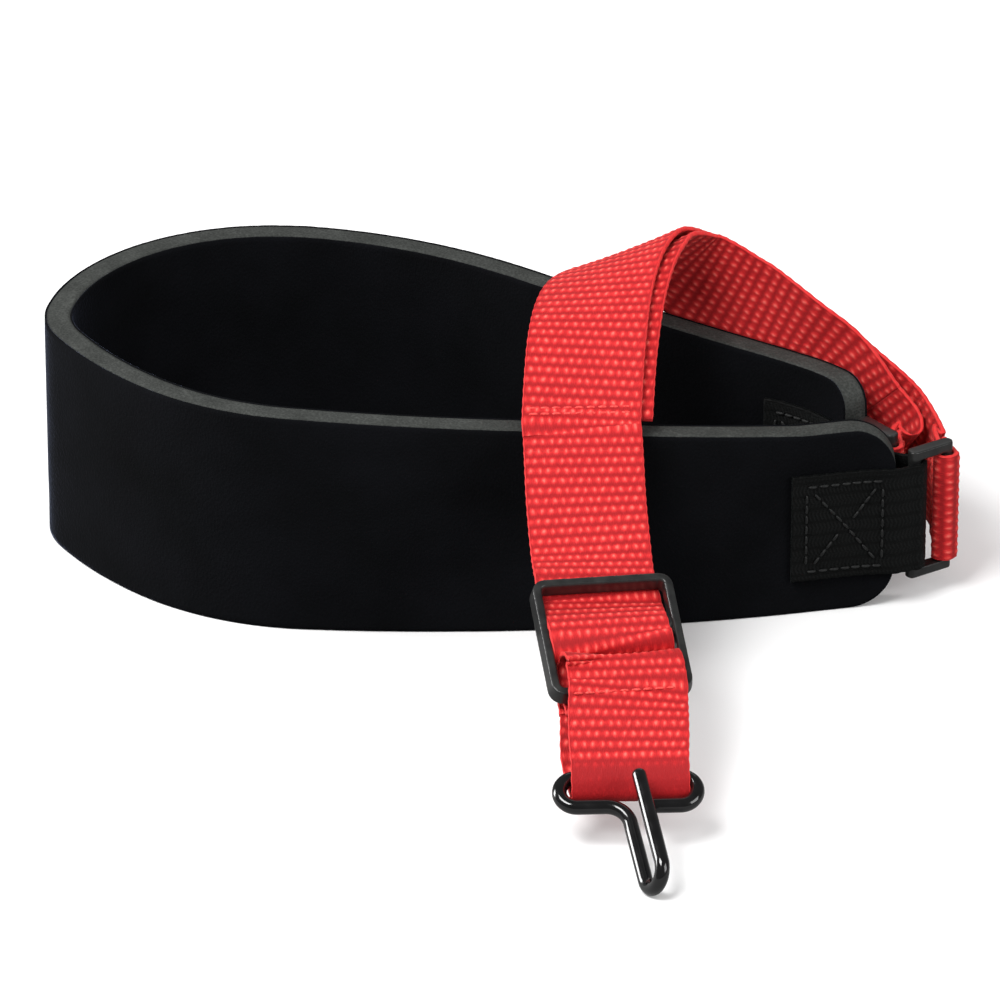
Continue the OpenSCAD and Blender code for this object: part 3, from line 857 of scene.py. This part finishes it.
def wire_course(step=0.25):
    """Points along the wire, in the hook's frame, from the cut end to the tip."""
    points = [vec(CUT_X, -HOOK_DEPTH, 0)]
    direction = vec(1, 0, 0)

    def straight(length):
        n = int(length / step)
        start = points[-1]
        points.extend(start + direction * length * (i + 1) / n for i in range(n))

    def bend(radius, degrees, towards):
        nonlocal direction
        n = int(radius * math.radians(degrees) / step)
        centre = points[-1] + radius * towards
        for i in range(n):
            a = math.radians(degrees * (i + 1) / n)
            points.append(centre + radius * (math.sin(a) * direction - math.cos(a) * towards))
        a = math.radians(degrees)
        direction = math.cos(a) * direction + math.sin(a) * towards

    straight(HOOK_HALF - CUT_X)
    bend(HOOK_DEPTH / 2, 180, vec(0, 1, 0))
    straight(2 * HOOK_HALF)
    bend(HOOK_DEPTH / 2, 180, vec(0, -1, 0))
    straight(HOOK_HALF + BEND_X)
    bend(BEND_R, 90 - HOOK_LEAN, vec(0, -1, 0))
    straight(SHAFT_L)
    lean, turn = math.radians(HOOK_LEAN), math.radians(TIP_TURN)
    rise = vec(math.sin(turn) * math.cos(lean), math.sin(turn) * math.sin(lean), math.cos(turn))
    bend(THROAT_R, 180, rise)
    straight(TIP_L)
    return np.array([run_point(*p) for p in points])


def tube_rings(course, radii, sides=28):
    """Rings round a course, carried without twist."""
    d = np.gradient(course, axis=0)
    d /= np.linalg.norm(d, axis=1)[:, None]
    a = 2 * np.pi * np.arange(sides) / sides
    normal = unit(np.cross(d[0], vec(0.3, 0.2, 0.9)))
    rings = []
    for i in range(len(course)):
        normal = unit(normal - d[i] * (normal @ d[i]))
        other = np.cross(d[i], normal)
        rings.append(course[i] + radii[i] * (np.outer(np.cos(a), normal) + np.outer(np.sin(a), other)))
    return np.array(rings)


def build_hook():
    course = wire_course()
    gaps = np.linalg.norm(np.diff(course, axis=0), axis=1)
    along = np.concatenate([[0], np.cumsum(gaps)])
    left = along[-1] + HOOK_R * 0.95 - along
    beyond = vec(0.35, 0.7, 1.0, 1.2, 1.3)      # stations on the rounded tip, past the wire's end
    tip_course = np.vstack([course, course[-1] + np.outer(beyond, unit(course[-1] - course[-2]))])
    left = np.concatenate([left, left[-1] - beyond])
    inside = np.clip(1 - left / HOOK_R, 0, 0.999)
    radii = COAT_R * np.sqrt(1 - inside**2)
    radii += 0.025 * np.sin(np.linspace(0, 31, len(radii)))      # a dipped coating is never quite even
    radii[0] = HOOK_R - 0.2
    outer = tube_rings(tip_course, radii)
    bore = tube_rings(course[:-10], np.full(len(course) - 10, WIRE_R + 0.05))
    obj = loft("hook_dipped_coating", np.concatenate([bore[::-1], outer]), COATING)
    dress(obj, "hook", "hook_coating", "hook_coating")
    recess = course[1:-12]
    core = loft("hook_steel_core", tube_rings(recess, np.full(len(recess), WIRE_R), 20), STEEL)
    dress(core, "hook", "steel", "hook_wire")


# ---- Red webbing, from the rings over the loop and down to the hook ----
RED_WRAP_R = BAR_R + SLACK + WEB_T / 2
ARCH_KEYS = [
    (98.8, -15.8, 20.6, 0.00, 0.00, 1.00),
    (98.3, -12.2, 21.0, 0.02, -0.05, 1.00),
    (92.0, -4.5, 26.6, 0.20, -0.20, 0.95),
    (82.0, 0.5, 34.0, 0.35, -0.25, 0.90),
    (70.0, 6.0, 42.0, 0.45, -0.25, 0.86),
    (57.0, 12.5, 48.6, 0.49, -0.25, 0.84),
    (46.0, 15.5, 54.9, 0.56, -0.30, 0.77),
    (37.5, 11.5, 61.3, 0.68, -0.35, 0.59),
    (32.0, 3.0, 63.8, 0.80, -0.35, 0.42),
    (27.5, -10.0, 63.3, 0.94, -0.20, 0.20),
    (25.2, -26.0, 59.8, 1.00, 0.00, 0.06)]


def run_key(u, v, w):
    return (*run_point(u, v, w), *RUN_X)


def slider_key(x, y, z, share=1.0):
    return (*slider_point(x, y, z, share), *slider_across(share))


def distance_at(keys, point):
    """How far along the keys the strip passes nearest to a point."""
    rows, along = resample(spline(keys), 0.36)
    return along[np.argmin(np.linalg.norm(rows[:, :3] - point, axis=1))]


def build_main_strap():
    """One strip: round the front ring, over the loop, down the run and through the slider."""
    fold = end_keys(FRONT_OUTER, FRONT_LEAVE)[::-1]
    run = [run_key(BEND_U, BEND_V + 2, BEND_W), run_key(BEND_U, BEND_V - 3, BEND_W),
           run_key(BEND_U, BEND_V - 9, BEND_W), run_key(BEND_U, BEND_V - 20, BEND_W),
           run_key(BEND_U + 0.4, SLIDER_AT[1] + BAR_Y + 12, BEND_W + 0.2)]
    slider = [slider_key(-0.6, BAR_Y + 5, -BAR_CLEAR - 0.4, 0.8), slider_key(-0.2, BAR_Y + 1, -BAR_CLEAR),
              slider_key(-0.1, BAR_Y - 2, -BAR_CLEAR + 0.1), slider_key(-0.3, 8.8, -1.3),
              slider_key(-0.5, 6.4, 0.2), slider_key(-0.6, 4, 1.6), slider_key(-0.6, 1.6, BAR_CLEAR + 0.2),
              slider_key(-0.6, -1.0, BAR_CLEAR + 0.3), slider_key(-0.4, -2.5, BAR_CLEAR - 0.2),
              slider_key(-0.1, -3.5, 0.9), slider_key(0, -3.9, -1.4),
              slider_key(0, -4.6, -3.6), slider_key(0, -6.8, -BELOW), slider_key(-0.5, -BAR_Y - 3.2, -BELOW)]
    keys = fold + ARCH_KEYS + run + slider
    pad_side = vec(*ARCH_KEYS[2][:3])
    cuts = [0, distance_at(keys, pad_side), distance_at(keys, run_point(BEND_U, BEND_V - 7, BEND_W)),
            distance_at(keys, slider_point(-0.2, BAR_Y + 1, -BAR_CLEAR)), None]
    end, arch, down, thread = (
        dress(webbing(name, keys, RED, part=cuts[i:i + 2]), None, "red_webbing", node)
        for i, (name, node) in enumerate((
            ("main_strap_end_fold", "main_strap_end"), ("main_strap_over_pad", "main_strap_arch"),
            ("main_strap_down_run", "main_strap_run"), ("slider_centre_fold", "slider_strap_thread"))))
    blend(end)
    blend(arch)
    blend(down)
    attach(thread, "slider")


def blend(obj):
    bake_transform(obj)


def build_loop_webbing():
    """One strip: the tail under the lower bar, its fold, the front leg, round the hook and up the back."""
    r = HOOK_R + 0.7 + WEB_T / 2
    fold_y = -(BAR_Y - 5.2)
    fold_r = 2.4
    middle, half = (OVER - BAR_CLEAR) / 2, (OVER + BAR_CLEAR) / 2

    def fold_key(degrees, x, share):
        a = math.radians(degrees)
        return slider_key(x, fold_y + fold_r * math.sin(a), middle + half * math.cos(a), share)

    keys = [slider_key(0.2, -BAR_Y - 4.2, 0.4), slider_key(0.2, -BAR_Y - 3.4, -1.8),
            slider_key(0.2, -BAR_Y - 2.0, -BAR_CLEAR + 0.1), slider_key(0.2, -BAR_Y, -BAR_CLEAR)]
    keys += [fold_key(150, 0.2, 0.8), fold_key(120, 0.3, 0.76), fold_key(95, 0.5, 0.72),
             fold_key(70, 0.8, 0.68), fold_key(45, 1.1, 0.64), fold_key(20, 1.4, 0.6)]
    keys += [slider_key(1.6, fold_y - 3, OVER + 0.15, 0.5), slider_key(1.8, -BAR_Y, OVER + 0.15, 0.4),
             slider_key(1.8, -BAR_Y - 3.5, OVER + 0.1, 0.25)]
    keys += [run_key(0.7, 12.5, r + 0.4), run_key(0.6, 9.0, r + 0.3), run_key(0.5, 5.0, r + 0.2),
             run_key(0.5, 1.8, r + 0.1), run_key(0.5, -0.9, r - 0.5), run_key(0.5, -3.0, 1.1),
             run_key(0.5, -4.3, -0.6), run_key(0.4, -3.7, -2.3), run_key(0.2, -1.2, -r - 0.2),
             run_key(-0.3, 3.0, -r - 0.4), run_key(-0.9, 8.0, -r - 0.9),
             slider_key(-0.5, -BAR_Y - 3.2, -BELOW)]
    loop = webbing("tail_fold_and_hook_loop", keys, RED,
                   crowd=lambda p: np.interp((p - HOOK_BAR) @ RUN_Y, [2, 8], [0.965, 0.985]),
                   press=lambda p: np.interp((p - HOOK_BAR) @ RUN_Y, [0.6, 2.4], [0.12, 1]))
    dress(loop, None, "red_webbing", "main_strap_tail", "hook_loop")
    blend(loop)


END_LEG = 8.0           # length of the doubled end at a ring
FRONT_LEAVE = 97.0      # directions in which the strap leaves the rings, in plan
REAR_LEAVE = 78.0


def end_keys(bar, leave):
    """The strap's end, folded round a ring's outer bar; both legs leave along one direction."""
    leg = (WEB_T + 0.1) / 2
    d, side = heading(leave), heading(leave + 90)

    def key(along, across):
        return (*(bar + along * d + across * side + WEB_Z * UP), 0, 0, 1)
    turn = [(*(bar + RED_WRAP_R * heading(leave + a) + WEB_Z * UP), 0, 0, 1) for a in range(100, 261, 16)]
    close = END_LEG * 0.62       # where the two legs come together
    return [key(END_LEG, leg), key(close, leg), *turn, key(close, -leg), key(END_LEG - 1.5, -leg)]


def build_yoke():
    """The rear ring's strap, which joins under the main strap and lies a little to one side."""
    gap, side = 2.2, 2.4         # how far it lies under the main strap, and to its side
    rows, _ = resample(spline(ARCH_KEYS + [run_key(BEND_U, BEND_V + 2, BEND_W)]), 0.5)
    p, b, n, _ = strip_frames(rows)
    under = np.hstack([p - n * gap + b * side, b])[p[:, 0] < 62]
    lead = [(*(REAR_OUTER + (END_LEG + 4.5) * heading(REAR_LEAVE) + (WEB_Z + 0.3) * UP), 0.02, -0.03, 1.00),
            (90.3, -7.0, 24.0, 0.08, -0.10, 1.00), (84.4, -3.4, 30.4, 0.28, -0.24, 0.93),
            (77.3, 0.4, 38.9, 0.42, -0.30, 0.86), (69.9, 3.4, 44.1, 0.40, -0.30, 0.87)]
    keys = end_keys(REAR_OUTER, REAR_LEAVE)[::-1] + lead + [tuple(row) for row in under[::10]]
    cut = vec(*lead[2][:3])
    met = distance_at(keys, cut)
    end = webbing("yoke_strap_end_fold", keys, RED, part=(0, met))
    dress(end, None, "red_webbing", "yoke_strap_end")
    blend(end)
    dress(webbing("yoke_strap", keys, RED, part=(met, None)), "neck_pad", "red_webbing", "yoke_strap_arch")


# ---- Stage ----
def build_stage():
    camera_data = bpy.data.cameras.new("camera")
    camera = bpy.data.objects.new("camera", camera_data)
    bpy.context.scene.collection.objects.link(camera)
    camera_data.sensor_width = 36
    camera_data.lens = 342.86
    camera_data.clip_end = 20
    rise, distance = math.radians(28), 2.0
    target = Vector((0.007, -0.033, 0.025))
    back = Vector((0, -math.cos(rise), math.sin(rise)))
    camera.location = target + distance * back
    camera.rotation_euler = (-back).to_track_quat("-Z", "Y").to_euler()
    bpy.context.scene.camera = camera

    aim = Vector((0.01, -0.03, 0.03))

    def soft_light(name, place, size, power):
        data = bpy.data.lights.new(name, "AREA")
        data.shape = "RECTANGLE"
        data.size, data.size_y = size
        data.energy = power
        light = bpy.data.objects.new(name, data)
        bpy.context.scene.collection.objects.link(light)
        light.location = place
        light.rotation_euler = (aim - Vector(place)).to_track_quat("-Z", "Y").to_euler()

    soft_light("key_light", (-0.35, -0.45, 0.85), (0.5, 0.35), 8.5)
    soft_light("fill_light", (0.75, -0.55, 0.45), (0.5, 0.5), 3.4)
    soft_light("back_light", (0.15, 0.75, 0.7), (0.8, 0.4), 0.6)
    soft_light("left_light", (-0.9, 0.15, 0.30), (0.25, 0.5), 6.0)

    floor = new_object("floor", [(-3000, -3000, 0), (3000, -3000, 0), (3000, 3000, 0), (-3000, 3000, 0)],
                       [(0, 1, 2, 3)], floor_material(), smooth=False)
    floor.location.z = -0.00005
    world = bpy.data.worlds.new("studio")
    world.use_nodes = True
    background = world.node_tree.nodes["Background"]
    background.inputs["Color"].default_value = (1, 1, 1, 1)
    # reflections see a darker room, as black gloss does in a studio
    nodes, links = world.node_tree.nodes, world.node_tree.links
    rays = nodes.new("ShaderNodeLightPath")
    darker = math_node(nodes, links, "MULTIPLY", rays.outputs["Is Glossy Ray"], -0.45)
    links.new(math_node(nodes, links, "ADD", darker, 0.60), background.inputs["Strength"])
    bpy.context.scene.world = world
    bpy.context.scene.view_settings.view_transform = "Standard"


def floor_material():
    """White to the camera, and darker to bounced light, so that undersides stay dark."""
    mat, nodes, links, shader = make_material("pale_floor")
    cloud = noise_node(nodes, links, scaled(nodes, links, object_coordinates(nodes), (3, 3, 3)), 1.0, 2.0)
    pale = ramp_node(nodes, links, cloud, [(0.3, (0.92, 0.92, 0.92)), (0.7, (0.95, 0.95, 0.95))])
    rays = nodes.new("ShaderNodeLightPath")
    links.new(mix_node(nodes, links, rays.outputs["Is Camera Ray"], (0.25, 0.25, 0.25), pale),
              shader.inputs["Base Color"])
    shader.inputs["Roughness"].default_value = 0.9
    return mat


# ---- Build everything ----
FRONT_OUTER = outer_bar_of("front_ring", FRONT_BAR)
REAR_OUTER = outer_bar_of("rear_ring", REAR_BAR)

build_pad()
build_tabs()
for end in ("front", "rear"):
    build_stitches(end + "_tab_thread", end + "_tab_stitching", "neck_pad", BLACK_THREAD, "black_thread",
                   away_from_pad)
build_ring("front_ring_body", "front_ring", "front_ring", FRONT_BAR)
build_ring("rear_ring_body", "rear_ring", "rear_ring", REAR_BAR)
build_stitches("main_end_thread", "main_strap_end_stitching", "front_ring", RED_THREAD, "red_thread",
               lambda p: vec(p[0] - FRONT_OUTER[0], 0, 0))
build_stitches("yoke_end_thread", "yoke_strap_end_stitching", "rear_ring", RED_THREAD, "red_thread",
               lambda p: vec(p[0] - REAR_OUTER[0], 0, 0))
build_main_strap()
build_yoke()
build_stitches("yoke_seam_thread", "yoke_seam_stitching", "neck_pad", RED_THREAD, "red_thread",
               lambda p: RUN_Z, 0.65)
build_slider()
build_loop_webbing()
build_stitches("tail_thread", "tail_stitching", "slider", RED_THREAD, "red_thread", lambda p: RUN_Z, 0.45)
build_hook()
build_stage()
